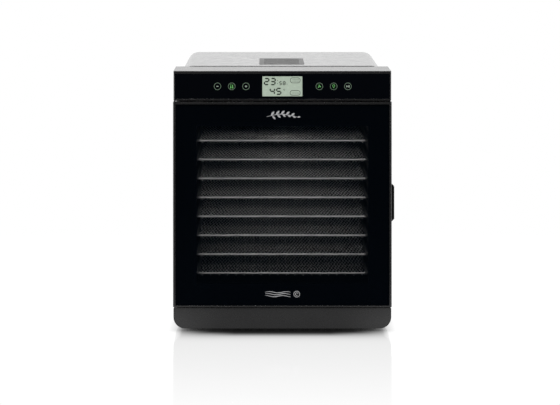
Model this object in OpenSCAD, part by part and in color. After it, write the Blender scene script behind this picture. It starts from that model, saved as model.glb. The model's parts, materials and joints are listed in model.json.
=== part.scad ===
// Cabinet food dryer: glass-fronted box with eight sliding wire-mesh trays, a rear
// fan and heater, and a touch panel with a liquid-crystal display over the door.
// Millimetres. +X is the right side seen from the front, +Y is the back, +Z is up.
// The origin is on the floor, under the middle of the cabinet.

/* [Cabinet] */
// Width of the door, the widest part of the front
door_w = 345; // [340:1:350]
// Height from the floor to the top of the control head
total_h = 411; // [405:1:417]
// Depth from the door's front face to the back edge of the housing
total_d = 450; // [444:2:470]
// Width of the sheet-metal housing
housing_w = 329; // [327:1:330]
// Bend radius of the housing's top edges
housing_r = 19; // [12:1:20]
// Radius of the base's bottom corners, seen from the front
base_r = 18; // [12:1:20]
// Height of the base under the door
base_h = 32.5; // [30:0.5:32.5]
// Height of the feet
foot_h = 5; // [4:0.5:6]

/* [Control head] */
// Depth of the wide front section, from the door's front face
head_d = 105; // [98:1:112]
// Height of the control head
head_h = 46.5; // [45:0.5:47]
// Width of the display opening
lcd_w = 63; // [50:1:70]
// Height of the display opening
lcd_h = 31.5; // [25:0.5:33]
// Distance from one touch key to the next
key_pitch = 22.5; // [18:0.5:25]
// Distance from the middle to the nearest touch key
key_first = 57.8; // [50:0.2:60]

/* [Door] */
// Thickness of the door
door_t = 18; // [18:1:18]
// Thickness of the door's glass
glass_t = 4; // [3:0.5:4]
// Width of the frame's lip round the glass
lip = 4; // [3:0.5:4.5]
// Width of the clear window in the glass
window_w = 271; // [240:1:280]
// Height of the clear window in the glass
window_h = 248.5; // [220:0.5:260]
// Height of the finger grip on the door's edge
grip_h = 59; // [45:1:80]
// How far the finger grip stands out of the door's edge
grip_out = 4; // [3:0.5:6]

/* [Trays] */
// Height of the lowest tray's wire above the floor
tray_z0 = 86.5; // [80:0.5:88]
// Distance from one tray to the next
tray_pitch = 30.2; // [28:0.2:31]
// Width of a tray, outside its edge wire
tray_w = 273; // [268:1:275]
// Depth of a tray, outside its edge wire
tray_d = 305; // [290:1:305]
// Diameter of the edge wire
rail_d = 4; // [3.5:0.1:4.5]
// Diameter of the support wires
wire_d = 1.8; // [1.4:0.1:2.2]
// Distance between support wires
wire_pitch = 13.4; // [12:0.1:13.6]

/* [Fan and heater] */
// Diameter of the fan wheel
fan_d = 150; // [120:2:160]
// Number of fan blades
blades = 7; // [5:1:9]
// Diameter of the heater's ring, centre to centre
heater_d = 190; // [180:2:200]

/* [Hidden] */
$fn = 48;

sides = [-1, 1];                // left, right
wall = 2.5;                     // plastic mouldings
sheet_t = 0.8;                  // housing
liner_t = 0.7;
seal_t = 3;

// depth planes, front to back
y_front = -total_d / 2;         // door's front face
y_back = total_d / 2;           // back of the motor cover and the housing
y_door_in = y_front + door_t;   // door's inner face
y_frame = y_door_in + seal_t;   // cabinet's front plane
y_liner = y_frame + 24;         // liner's front edge
head_y0 = y_front + 2;
head_y1 = y_front + head_d;     // back of the wide front section
y_shell = head_y1 + 0.9;        // housing's front edge
y_rear = y_back - 41;           // rear panel's inner face
y_shroud = y_back - 53;         // fan chamber's back wall
y_grille = y_back - 104;        // cavity's back grille
base_y0 = y_front + 3;

// height planes
base_top = foot_h + base_h;
door_z0 = base_top + 1.5;
head_z0 = total_h - head_h;
door_z1 = head_z0 - 2;
housing_top = total_h + 0.8;
cavity_z0 = 56;                 // cavity floor
cavity_z1 = 345;                // cavity ceiling
fan_z = 200;                    // fan and motor axis

// half widths
cavity_x = 142;
opening_x = 143;                // front opening
front_w = door_w - 1.4;         // full width of the control head and base
pan_x = housing_w / 2 - 1.1;    // bottom panel

// door hinge axis
hinge_x = -door_w / 2 + 6.5;
hinge_y = y_front + 10.5;
pin_r = 2.5;
bush_r = pin_r + 0.05;          // running clearance on the pin
bush_outer_r = 4.5;
bush_l = 12;
hinge_screw_dx = [14, 32];      // bracket screws, along the bracket from the pin

// door catches
catch_x = door_w / 2 - 9;
catch_z = [84, 317];

tray_y0 = y_frame + 14;         // tray's front
tray_y1 = tray_y0 + tray_d;
tray_z = [for (i = [0:7]) tray_z0 + (7 - i) * tray_pitch];   // tray 1 is the top one

// ---- helpers -------------------------------------------------------------
module extrude_y(y0, y1) {   // profile drawn in X and Z
  translate([0, y1, 0]) rotate([90, 0, 0]) linear_extrude(y1 - y0) children();
}
module extrude_z(z0, z1) {
  translate([0, 0, z0]) linear_extrude(z1 - z0) children();
}
module box(x0, x1, y0, y1, z0, z1) {
  translate([x0, y0, z0]) cube([x1 - x0, y1 - y0, z1 - z0]);
}
// box that reaches half_w to each side of x
module box_mid(x, half_w, y0, y1, z0, z1) box(x - half_w, x + half_w, y0, y1, z0, z1);
module cyl_x(y, z, x0, x1, r) {
  translate([x0, y, z]) rotate([0, 90, 0]) cylinder(r = r, h = x1 - x0);
}
module cyl_y(x, z, y0, y1, r) {
  translate([x, y1, z]) rotate([90, 0, 0]) cylinder(r = r, h = y1 - y0);
}
module cyl_z(x, y, z0, z1, r) {
  translate([x, y, z0]) cylinder(r = r, h = z1 - z0);
}
// a cylinder along Y at each [x, z] point
module cyls_y(points, y0, y1, r) {
  for (p = points) cyl_y(p[0], p[1], y0, y1, r);
}
function arc(centre, r, start, end, steps = 7) = r < 0.01 ? [centre] :
  [for (i = [0:steps])
    let (a = start + (end - start) * i / steps)
    [centre[0] + r * cos(a), centre[1] + r * sin(a)]];
// r is one radius, or four: low-left, low-right, top-right, top-left
module rounded_rect(x0, x1, y0, y1, r) {
  radii = is_list(r) ? r : [r, r, r, r];
  polygon(concat(
    arc([x0 + radii[0], y0 + radii[0]], radii[0], 180, 270),
    arc([x1 - radii[1], y0 + radii[1]], radii[1], 270, 360),
    arc([x1 - radii[2], y1 - radii[2]], radii[2], 0, 90),
    arc([x0 + radii[3], y1 - radii[3]], radii[3], 90, 180)));
}
// four quarter bends of a rod that runs round a rectangle in the XY plane
module corner_bends(half_w, y0, y1, bend_r, rod_r) {
  x = half_w - bend_r;
  // x, y, start angle
  corners = [[x, y1 - bend_r, 0], [-x, y1 - bend_r, 90],
    [-x, y0 + bend_r, 180], [x, y0 + bend_r, 270]];
  for (c = corners)
    translate([c[0], c[1], 0]) rotate([0, 0, c[2]])
      rotate_extrude(angle = 90) translate([bend_r, 0]) circle(r = rod_r);
}
// pan-head screw pointing along -Z from its head's underside at the origin
module screw(length) {
  head_r = 3.2;
  head_t = 1.8;
  slot_w = 0.7;
  slot_z = head_t - 0.8;
  difference() {
    union() {
      translate([0, 0, -length]) cylinder(r = 1.5, h = length);
      cylinder(r = head_r, h = head_t);
    }
    translate([-head_r, -slot_w / 2, slot_z]) cube([head_r * 2, slot_w, 1]);
    translate([-slot_w / 2, -head_r, slot_z]) cube([slot_w, head_r * 2, 1]);
  }
}

// ---- housing -------------------------------------------------------------
side_screw_y = [-95, 40, 170];
side_screw_z = 26;
vent_w = 74;
vent_y0 = -85;
vent_y1 = 55;
vent_slots = 15;
vent_slot_pitch = (vent_y1 - vent_y0 - 18) / (vent_slots - 0.5);

cover_w = 190;                  // motor cover
cover_z0 = 110;
cover_z1 = 290;
rear_screw_points = [for (side = sides, z = [44, 160, 280, 386]) [side * 157.5, z]];
cover_screw_points = [for (side = sides, z = [cover_z0 + 5, cover_z1 - 5])
  [side * (cover_w / 2 - 5), z]];

// inverted U, inset inside the outer face
module housing_profile(inset, z0) {
  x = housing_w / 2 - housing_r;
  z = housing_top - housing_r;
  polygon(concat([[housing_w / 2 - inset, z0]],
    arc([x, z], housing_r - inset, 0, 90, 9),
    arc([-x, z], housing_r - inset, 90, 180, 9),
    [[-housing_w / 2 + inset, z0]]));
}
module side_screw_holes(wall_x, r) {
  for (side = sides, y = side_screw_y) {
    x = side * (wall_x - 1);
    cyl_x(y, side_screw_z, x - 3, x + 3, r);
  }
}
module outer_housing() color([0.13, 0.13, 0.14]) difference() {
  union() {
    extrude_y(y_shell, y_back) difference() {
      housing_profile(0, 20);
      housing_profile(sheet_t, 19);
    }
    // flange that carries the rear panel
    extrude_y(y_rear - 1.2, y_rear) difference() {
      housing_profile(sheet_t - 0.5, 32);
      rounded_rect(-housing_w / 2 + 14, housing_w / 2 - 14, 31, housing_top - 14, 6);
    }
  }
  // exhaust opening in the top
  box_mid(0, vent_w / 2 - 4, vent_y0 + 4, vent_y1 - 4, housing_top - 6, housing_top + 1);
  side_screw_holes(housing_w / 2, 1.7);
  cyls_y(rear_screw_points, y_rear - 3, y_rear + 1, 1.7);
  // side breathing slots near the back
  for (side = sides, z = [80:9:143])
    box_mid(side * housing_w / 2, 3, y_rear - 34, y_rear - 10, z, z + 3);
}
module top_vent() color([0.09, 0.09, 0.09]) {
  z = housing_top;
  difference() {
    union() {
      extrude_z(z, z + 0.4) rounded_rect(-vent_w / 2, vent_w / 2, vent_y0, vent_y1, 3);
      extrude_z(z - 2.8, z)
        rounded_rect(-vent_w / 2 + 4.2, vent_w / 2 - 4.2, vent_y0 + 4.2, vent_y1 - 4.2, 1.5);
    }
    for (i = [0:vent_slots - 1])
      translate([0, vent_y0 + 9 + i * vent_slot_pitch, 0])
        box_mid(0, vent_w / 2 - 8, 0, 2.4, z - 4, z + 2);
  }
  // rib down the middle that ties the louvres
  box_mid(0, 1.5, vent_y0 + 8, vent_y1 - 8, z - 2.4, z + 0.2);
}

// ---- control head ----------------------------------------------------------
fascia_x = front_w / 2 - 2.4;   // half width
fascia_z0 = head_z0 + 2.7;
fascia_z1 = total_h - 4.4;
fascia_y0 = head_y0 + 0.4;
fascia_y1 = fascia_y0 + 2;
lcd_z = (fascia_z0 + fascia_z1) / 2;
lcd_z0 = lcd_z - lcd_h / 2;
lcd_z1 = lcd_z + lcd_h / 2;
key_x = [for (side = sides, i = [0:2]) side * (key_first + i * key_pitch)];
key_z = lcd_z;
y_board = head_y0 + 13;         // control board's front face
y_chips = y_board + 1.5;        // parts start just inside its back face
connector_x = 129;
post_x = [-150, -50, 50, 150];
post_points = [for (x = post_x) [x, head_z0 + 6.5]];

module above(z) intersection() {
  children();
  translate([-200, z]) square([400, 100]);
}
// pin and bracket-screw holes in the moulded wall that starts at z
module hinge_holes(z) {
  cyl_z(hinge_x, hinge_y, z - 1, z + wall + 1, 3.2);
  for (dx = hinge_screw_dx) cyl_z(hinge_x + dx, hinge_y, z - 1, z + wall + 1, 1.6);
}
module control_head() color([0.10, 0.10, 0.105]) difference() {
  floor_z = head_z0 + wall;
  union() {
    difference() {
      extrude_z(head_z0, total_h)
        rounded_rect(-front_w / 2, front_w / 2, head_y0, head_y1, 2.5);
      // hollow behind the fascia wall
      box_mid(0, front_w / 2 - wall, head_y0 + wall + 2, head_y1 - wall,
        floor_z, total_h - wall);
      // back wall is open inside the housing's outline
      extrude_y(head_y1 - wall - 1, head_y1 + 1) above(floor_z) housing_profile(4, floor_z);
      // pocket for the fascia
      box_mid(0, fascia_x + 0.1, head_y0 - 1, fascia_y1, fascia_z0 - 0.1, fascia_z1 + 0.1);
      // opening behind the fascia for display and pads
      box_mid(0, fascia_x - 6, head_y0, head_y0 + wall + 3, fascia_z0 + 2, fascia_z1 - 2);
    }
    // lip that the housing slides over
    extrude_y(head_y1 - 2, head_y1 + 9) above(head_z0) difference() {
      housing_profile(sheet_t + 0.3, head_z0 - 5);
      housing_profile(sheet_t + 2.6, head_z0 - 6);
    }
    // board posts and their feet
    cyls_y(post_points, head_y0 + 14.8, head_y0 + 40, 3);
    for (x = post_x) box_mid(x, 2, head_y0 + 22, head_y0 + 34, floor_z - 0.1, floor_z + 2.9);
  }
  hinge_holes(head_z0);
}
module control_fascia() color([0.01, 0.01, 0.012]) difference() {
  extrude_y(fascia_y0, fascia_y1) rounded_rect(-fascia_x, fascia_x, fascia_z0, fascia_z1, 1);
  box_mid(0, lcd_w / 2 + 0.1, head_y0 - 1, head_y0 + 4, lcd_z0 - 0.1, lcd_z1 + 0.1);
}
module lcd_module() color([0.66, 0.72, 0.66]) union() {
  // viewing area, standing in the fascia's opening
  box_mid(0, lcd_w / 2, head_y0 + 0.7, head_y0 + 3, lcd_z0, lcd_z1);
  // glass cell and backlight behind it
  box_mid(0, lcd_w / 2 + 3, head_y0 + 3, head_y0 + 8, lcd_z0 + 0.4, lcd_z1 - 0.4);
  // row of pins
  for (i = [0:9]) cyl_y(-22.5 + i * 5, lcd_z0 + 3, head_y0 + 7.9, y_board - 0.2, 0.4);
}
module control_board() color([0.06, 0.30, 0.14]) difference() {
  union() {
    box_mid(0, 158, y_board, y_board + 1.6, fascia_z0 + 0.5, fascia_z1 - 1.5);
    // controller, crystal, buzzer and connector on the back
    box_mid(0, 7, y_chips, y_chips + 2, lcd_z - 7, lcd_z + 7);
    box_mid(19, 5, y_chips, y_chips + 3.5, lcd_z - 2, lcd_z + 2);
    cyl_y(-30, lcd_z + 2, y_chips, y_chips + 7.5, 5);
    box_mid(connector_x, 11, y_chips, y_chips + 8.5, lcd_z - 4, lcd_z + 4);
    // indicator lamps, one behind each key
    for (x = key_x) box_mid(x, 1.6, y_board - 0.9, y_board + 0.1, key_z + 7, key_z + 9);
  }
  cyls_y(post_points, y_board - 1, y_board + 3, 1.6);
}
// hollow pads between the fascia and the board
module touch_pads() color([0.2, 0.2, 0.2]) for (x = key_x)
  difference() {
    cyl_y(x, key_z, fascia_y1, y_board, 5.2);
    cyl_y(x, key_z, fascia_y1 - 0.1, y_board - 2, 3.2);
  }

// ---- front frame, base -------------------------------------------------------
foot_x = 136;
foot_y = [y_front + 50, y_rear - 9];
lip_x = housing_w / 2 - sheet_t - 1.45;

module front_frame() color([0.08, 0.08, 0.085]) difference() {
  rib_x0 = housing_w / 2 - 4;
  rib_x1 = front_w / 2 - 1;
  union() {
    difference() {
      extrude_y(y_frame, head_y1)
        rounded_rect(-front_w / 2, front_w / 2, base_top, head_z0, 1);
      // hollow behind the face
      extrude_y(y_frame + wall, head_y1 + 1)
        rounded_rect(-front_w / 2 + wall, front_w / 2 - wall,
          base_top + wall, head_z0 - wall, 1);
    }
    // back wall of the moulding, outside the housing's outline
    extrude_y(head_y1 - wall, head_y1) difference() {
      rounded_rect(-front_w / 2, front_w / 2, base_top, head_z0, 1);
      rounded_rect(-housing_w / 2 + 4.2, housing_w / 2 - 4.2, base_top - 1, head_z0 + 1, 0);
    }
    // return round the opening, in front of the liner
    extrude_y(y_frame + 0.5, y_liner)
      rounded_rect(-opening_x - wall, opening_x + wall,
        cavity_z0 - wall - 0.5, cavity_z1 + wall + 0.5, 3);
    // lips that the housing slides over, with ribs out to the side walls
    for (side = sides) {
      box_mid(side * lip_x, 1.15, head_y1 - 6, head_y1 + 9, base_top + 8, head_z0 - 8);
      for (z = [base_top + 8, 140, 240, head_z0 - 10])
        box(side > 0 ? rib_x0 : -rib_x1, side > 0 ? rib_x1 : -rib_x0,
          head_y1 - 6, head_y1 - 3, z, z + 2);
    }
  }
  extrude_y(y_frame - 1, y_liner + 1)
    rounded_rect(-opening_x, opening_x, cavity_z0, cavity_z1, 3);
  // seats for the catch plates
  for (z = catch_z) box_mid(catch_x, 3.6, y_frame - 1, y_frame + 1.2, z - 10.1, z + 10.1);
}
module base_fascia() color([0.11, 0.11, 0.115]) difference() {
  inner_r = base_r - wall;
  floor_z = foot_h + wall;
  extrude_y(base_y0, head_y1)
    rounded_rect(-front_w / 2, front_w / 2, foot_h, base_top, [base_r, base_r, 1.5, 1.5]);
  extrude_y(base_y0 + wall, head_y1 - wall)
    rounded_rect(-front_w / 2 + wall, front_w / 2 - wall, floor_z, base_top - wall,
      [inner_r, inner_r, 0, 0]);
  // back wall is open inside the bottom panel's outline
  extrude_y(head_y1 - wall - 1, head_y1 + 1)
    rounded_rect(-158, 158, floor_z, base_top - wall, [12, 12, 0, 0]);
  hinge_holes(base_top - wall);
  for (side = sides) cyl_z(side * foot_x, foot_y[0], foot_h - 1, floor_z + 1, 4);
  // air slots in the underside
  for (i = [-5:5]) box_mid(i * 18, 6, base_y0 + 40, base_y0 + 44, foot_h - 1, floor_z + 1);
}
module bottom_panel() color([0.16, 0.16, 0.17]) difference() {
  tongue_z = foot_h + wall;
  union() {
    extrude_y(head_y1 + 0.2, y_back - 1) difference() {
      rounded_rect(-pan_x, pan_x, foot_h, 32, [14, 14, 0, 0]);
      rounded_rect(-pan_x + 1.2, pan_x - 1.2, foot_h + 1.2, 33, [12.8, 12.8, 0, 0]);
    }
    // tongue that laps into the base moulding
    box_mid(0, 140, head_y1 - 14, head_y1 + 1, tongue_z, tongue_z + 1.2);
    box_mid(0, 140, head_y1 + 0.2, head_y1 + 1.4, foot_h + 0.5, tongue_z + 1.2);
  }
  for (side = sides) cyl_z(side * foot_x, foot_y[1], foot_h - 1, foot_h + 4, 4);
  side_screw_holes(pan_x, 1.55);
  // intake louvres
  for (y = [10, 24, 38], i = [-6:6]) box_mid(i * 14, 5, y, y + 4, foot_h - 1, foot_h + 3);
}
module rubber_feet() color([0.03, 0.03, 0.03]) for (side = sides, y = foot_y)
  translate([side * foot_x, y, 0]) difference() {
    union() {
      cylinder(r = 12, h = foot_h);
      // stem through the floor and its retaining collar
      cylinder(r = 3.9, h = foot_h + 4);
      translate([0, 0, foot_h + wall + 0.2]) cylinder(r = 5.2, h = 1.4);
    }
    translate([0, 0, -1]) cylinder(r = 2.2, h = 7);
  }

// ---- back ------------------------------------------------------------------
grommet_x = 120;
grommet_z = 60;

module cover_rect(inset, r) {
  rounded_rect(-cover_w / 2 + inset, cover_w / 2 - inset, cover_z0 + inset, cover_z1 - inset, r);
}
module rear_panel() color([0.14, 0.14, 0.15]) difference() {
  cut_y0 = y_rear - 1;
  cut_y1 = y_rear + 2;
  extrude_y(y_rear, y_rear + 1)
    rounded_rect(-pan_x + 1.3, pan_x - 1.3, foot_h + 1.3, housing_top - 1.6,
      [12.7, 12.7, housing_r - 2, housing_r - 2]);
  cyls_y(rear_screw_points, cut_y0, cut_y1, 1.7);
  // opening under the motor cover
  extrude_y(cut_y0, cut_y1) cover_rect(10, 8);
  // exhaust slots at the top and intake slots at the bottom
  for (i = [-9:9]) box_mid(i * 12, 2, cut_y0, cut_y1, 330, 362);
  for (i = [-6:6]) box_mid(i * 12, 2, cut_y0, cut_y1, 46, 74);
  cyl_y(grommet_x, grommet_z, cut_y0, cut_y1, 6);
  cyls_y(cover_screw_points, cut_y0, cut_y1, 1.7);
}
// slots round the fan axis through the cover's back, from radius r0 to r1
module radial_slots(count, r0, r1, half_w) {
  for (i = [0:count - 1])
    translate([0, 0, fan_z]) rotate([0, i * 360 / count, 0])
      box(r0, r1, y_back - 6, y_back + 1, -half_w, half_w);
}
module motor_cover() color([0.09, 0.09, 0.095]) difference() {
  union() {
    extrude_y(y_rear + 1, y_back) cover_rect(12, 14);
    extrude_y(y_rear + 1, y_rear + 3) cover_rect(0, 10);
    // horns that hold the wound cord
    for (side = sides) extrude_y(y_back - 3, y_back)
      rounded_rect(side * 35 - 15, side * 35 + 15, cover_z0 - 2, cover_z1 + 2, 6);
  }
  extrude_y(y_rear, y_back - 2.2) cover_rect(14.2, 12);
  radial_slots(24, 26, 56, 1.6);
  radial_slots(16, 10, 19, 1.3);
  cyls_y(cover_screw_points, y_rear, y_rear + 4, 1.7);
}
// screws driven forward from y, at each [x, z] point
module screws_from_back(points, y, length) {
  for (p = points) translate([p[0], y, p[1]]) rotate([-90, 0, 0]) screw(length);
}
module rear_screws() color([0.6, 0.6, 0.62]) {
  screws_from_back(rear_screw_points, y_rear + 1, 6);
  screws_from_back(cover_screw_points, y_rear + 3, 7);
}
module cabinet_screws() color([0.25, 0.25, 0.26]) {
  for (side = sides, y = side_screw_y)
    translate([side * housing_w / 2, y, side_screw_z]) rotate([0, side * 90, 0]) screw(6);
  for (dx = hinge_screw_dx) {
    translate([hinge_x + dx, hinge_y, head_z0 + wall + 1.5]) screw(4);
    translate([hinge_x + dx, hinge_y, base_top - wall - 1.5]) rotate([180, 0, 0]) screw(4);
  }
}

// ---- cavity ----------------------------------------------------------------
liner_y0 = y_liner + 0.4;
flange_x = cavity_x + 7;        // half width of the ceiling, floor and shroud
lamp_y = y_frame + 60;
probe_x = 100;
probe_y = 60;

module liner() {   // left wall, with its ledges; mirrored for the right
  difference() {
    union() {
      box(-cavity_x - liner_t, -cavity_x, liner_y0, y_shroud, cavity_z0, cavity_z1);
      // bent edges at the top and bottom
      for (z = [cavity_z0, cavity_z1 - liner_t])
        box(-flange_x, -cavity_x, liner_y0, y_shroud - 4, z, z + liner_t);
      // ledges, each with a flange down the wall
      for (z = tray_z) {
        ledge_z = z - rail_d / 2 - 0.1;
        box(-cavity_x - 0.1, -cavity_x + 10.5, y_frame + 26, y_grille - 1,
          ledge_z - 0.9, ledge_z);
        box(-cavity_x - 0.1, -cavity_x + 0.9, y_frame + 26, y_grille - 1,
          z - rail_d / 2 - 4, ledge_z);
      }
    }
    // circulation slots between the ledges, towards the fan
    for (z = tray_z) box_mid(-cavity_x, 3, y_grille - 40, y_grille - 10, z + 6, z + 12);
  }
}
module left_liner() color([0.50, 0.50, 0.51]) liner();
module right_liner() color([0.50, 0.50, 0.51]) mirror([1, 0, 0]) liner();
// sheet from z to z + liner_t, with front and back flanges from flange_z0 up 8
module cavity_sheet(z, flange_z0) {
  box_mid(0, flange_x, liner_y0, y_shroud, z, z + liner_t);
  for (y = [liner_y0, y_shroud - liner_t])
    box_mid(0, flange_x, y, y + liner_t, flange_z0, flange_z0 + 8);
}
module cavity_ceiling() color([0.50, 0.50, 0.51]) difference() {
  cut_z0 = cavity_z1 - 1;
  cut_z1 = cavity_z1 + 2;
  union() cavity_sheet(cavity_z1, cavity_z1);
  // lamp opening
  box_mid(0, 31, lamp_y - 11, lamp_y + 11, cut_z0, cut_z1);
  // exhaust holes under the top vent
  for (i = [-3:3], j = [0:5]) cyl_z(i * 9, -76 + j * 24, cut_z0, cut_z1, 2.5);
  cyl_z(probe_x, probe_y, cut_z0, cut_z1, 3.2);
}
module cavity_floor() color([0.42, 0.42, 0.43]) difference() {
  union() cavity_sheet(cavity_z0 - liner_t, cavity_z0 - 8);
  for (i = [-8:8])
    box_mid(i * 15, 4, y_shroud - 30, y_shroud - 26, cavity_z0 - 2, cavity_z0 + 1);
}
// lens in the ceiling, ribbed underneath
module lamp_lens() color([0.92, 0.92, 0.88]) union() {
  box_mid(0, 30.8, lamp_y - 10.8, lamp_y + 10.8, cavity_z1 - 1.5, cavity_z1 + liner_t + 0.1);
  box_mid(0, 33, lamp_y - 13, lamp_y + 13, cavity_z1 + liner_t, cavity_z1 + 2);
  for (i = [-9:9])
    box_mid(i * 3, 0.6, lamp_y - 9, lamp_y + 9, cavity_z1 - 2.2, cavity_z1 - 1.4);
}
// board above the lens, with seven lamps under it and a support at each end
module lamp_board() color([0.9, 0.9, 0.85]) union() {
  board_z0 = cavity_z1 + 4;
  board_z1 = board_z0 + 1.2;
  box_mid(0, 30, lamp_y - 8, lamp_y + 8, board_z0, board_z1);
  for (i = [-3:3])
    box_mid(i * 8, 1.5, lamp_y - 1.5, lamp_y + 1.5, board_z0 - 0.8, board_z0);
  for (side = sides)
    box_mid(side * 31.5, 1.5, lamp_y - 6, lamp_y + 6, cavity_z1 + 2, board_z1);
}
module fan_grille() color([0.35, 0.35, 0.36]) difference() {
  union() {
    box_mid(0, cavity_x - 0.1, y_grille, y_grille + 0.8, cavity_z0 + 0.1, cavity_z1 - 0.1);
    // side flanges
    for (side = sides)
      box_mid(side * (cavity_x - 0.5), 0.4, y_grille, y_grille + 10,
        cavity_z0 + 10, cavity_z1 - 10);
  }
  for (i = [-9:8], z = [72, 160, 248])
    box_mid((i + 0.5) * 14, 1.5, y_grille - 1, y_grille + 2, z, z + 80);
  cyls_y([for (side = sides, z = [64, 337]) [side * 134, z]], y_grille - 1, y_grille + 2, 1.7);
}

// ---- fan, heater, motor -------------------------------------------------------
heater_r = heater_d / 2;
heater_leg_x = 14;
heater_leg_points = [for (side = sides)
  [side * heater_leg_x, fan_z - sqrt(pow(heater_r, 2) - pow(heater_leg_x, 2))]];
motor_screw_points = [for (side = sides) [side * 36, fan_z]];
y_seat = y_shroud + 5;          // motor's seat on the shroud
stator_y0 = y_shroud + 12;
stator_y1 = y_shroud + 32;
y_fan = y_shroud - 24;          // middle of the fan wheel
cutoff_x = 80;
cutoff_z = 300;

module fan_shroud() color([0.55, 0.55, 0.56]) difference() {
  union() {
    box_mid(0, flange_x, y_shroud, y_shroud + 1.2, cavity_z0 - 8, cavity_z1 + 8);
    // pressed seat for the motor
    translate([0, y_seat, fan_z]) rotate([90, 0, 0]) difference() {
      cylinder(r = 46, h = 4.5);
      translate([0, 0, 1.2]) cylinder(r = 44.8, h = 5);
    }
  }
  cyl_y(0, fan_z, y_shroud - 3, y_shroud + 8, 7);
  cyls_y(heater_leg_points, y_shroud - 1, y_shroud + 3, 4);
  cyls_y(motor_screw_points, y_shroud - 1, y_shroud + 8, 2.1);
  for (side = sides) cyl_y(cutoff_x + side * 12, cutoff_z, y_shroud - 1, y_shroud + 1.4, 1.6);
}
// ring open at the bottom, with two legs through the shroud
module heating_element() color([0.45, 0.43, 0.42]) {
  gap_angle = asin(heater_leg_x / heater_r);   // half the gap
  translate([0, y_shroud - 22, fan_z]) rotate([90, 0, 0]) rotate([0, 0, -90 + gap_angle])
    rotate_extrude(angle = 360 - 2 * gap_angle) translate([heater_r, 0]) circle(r = 3.2);
  cyls_y(heater_leg_points, y_shroud - 26, y_shroud + 6, 3.5);
  cyls_y(heater_leg_points, y_shroud + 5.9, y_shroud + 10.5, 1.4);
}
module fan_motor() color([0.50, 0.45, 0.40]) difference() {
  union() {
    // laminated stator
    box_mid(0, 30, stator_y0, stator_y1, fan_z - 34, fan_z + 22);
    // winding on the lower limb
    box_mid(0, 17, y_shroud + 7, y_shroud + 37, fan_z - 36, fan_z - 16);
    // bearing bridges, their pillars and bosses
    box_mid(0, 38, y_seat, y_seat + 2, fan_z - 9, fan_z + 9);
    box_mid(0, 30, y_shroud + 37, y_shroud + 39, fan_z - 9, fan_z + 9);
    for (side = sides)
      box_mid(side * 27, 3, y_shroud + 6.9, y_shroud + 37.1, fan_z - 6, fan_z + 6);
    cyl_y(0, fan_z, y_seat, y_seat + 5, 8);
    cyl_y(0, fan_z, y_shroud + 34, y_shroud + 41, 8);
  }
  // rotor space, shaft bore and screw holes
  cyl_y(0, fan_z, y_shroud + 10, y_shroud + 34, 13);
  cyl_y(0, fan_z, y_shroud + 2, y_shroud + 43, 2.55);
  cyls_y(motor_screw_points, y_shroud + 3, y_shroud + 8, 1.6);
}
module motor_shaft() color([0.7, 0.7, 0.72]) union() {
  cyl_y(0, fan_z, y_shroud - 36, y_shroud + 44, 2.5);
  // rotor
  cyl_y(0, fan_z, stator_y0, stator_y1, 12.6);
}
module fan_wheel() color([0.72, 0.73, 0.75]) difference() {
  union() {
    // hub and its disc
    cyl_y(0, fan_z, y_fan - 10, y_fan + 10, 11);
    cyl_y(0, fan_z, y_fan - 1, y_fan + 0.2, 22);
    // pitched flat blades, trimmed to the wheel's diameter
    intersection() {
      cyl_y(0, fan_z, y_fan - 12, y_fan + 12, fan_d / 2);
      for (i = [0:blades - 1])
        translate([0, y_fan, fan_z]) rotate([0, i * 360 / blades, 0])
          translate([8, 0, 0]) rotate([32, 0, 0])
            translate([0, -0.6, -15]) cube([fan_d / 2, 1.2, 30]);
    }
  }
  cyl_y(0, fan_z, y_fan - 12, y_fan + 12, 2.5);
}
module thermal_cutoff() color([0.75, 0.72, 0.62]) union() {
  box_mid(cutoff_x, 18, y_shroud + 1.2, y_shroud + 2, cutoff_z - 8, cutoff_z + 8);
  cyl_y(cutoff_x, cutoff_z, y_shroud + 2, y_shroud + 9, 7.5);
  // terminals
  for (side = sides)
    box_mid(cutoff_x + side * 4, 0.4, y_shroud + 8.9, y_shroud + 11.5,
      cutoff_z - 3, cutoff_z + 3);
}
module temp_probe() color([0.75, 0.76, 0.78]) union() {
  cyl_z(probe_x, probe_y, cavity_z1 - 12, cavity_z1 + 9, 2.6);
  cyl_z(probe_x, probe_y, cavity_z1 + 1, cavity_z1 + 3, 5.5);
  cyl_z(probe_x, probe_y, cavity_z1 + 9, cavity_z1 + 14, 1.4);
}

// ---- electrics ------------------------------------------------------------
loop_r = 22;                    // corner radius of the cord's loop round the motor cover
loop_x = 90;                    // loop's half width
loop_z0 = cover_z0 + 3.5;
loop_z1 = cover_z1 - 3.5;
cord_r = 3.2;
cord_y = y_rear + 24;           // outer turn of the cord, and the plug
plug_x = -58;

module power_board() color([0.10, 0.32, 0.16]) union() {
  board_z = 18;
  z = board_z + 1.5;            // parts start just inside the board's top
  box_mid(0, 60, 60, 150, board_z, board_z + 1.6);
  // transformer
  box(-52, -22, 70, 92, z, board_z + 22);
  // relays
  for (x = [-1, 21]) box_mid(x, 9, 72, 90, z, board_z + 17);
  // heat sink's fins and foot
  for (i = [0:6]) box_mid(-49 + i * 4, 1, 110, 140, z, board_z + 20);
  box(-50, -24, 110, 140, z, board_z + 4);
  // upright round parts: x, y, radius
  for (p = [[5, 115, 6], [22, 112, 4], [22, 128, 4]])
    cyl_z(p[0], p[1], z, board_z + 20, p[2]);
  // terminal block
  box(36, 56, 66, 142, z, board_z + 12);
  // standoffs
  for (x = [-54, 54], y = [66, 144]) cyl_z(x, y, foot_h + 1.2, board_z, 3);
}
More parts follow.
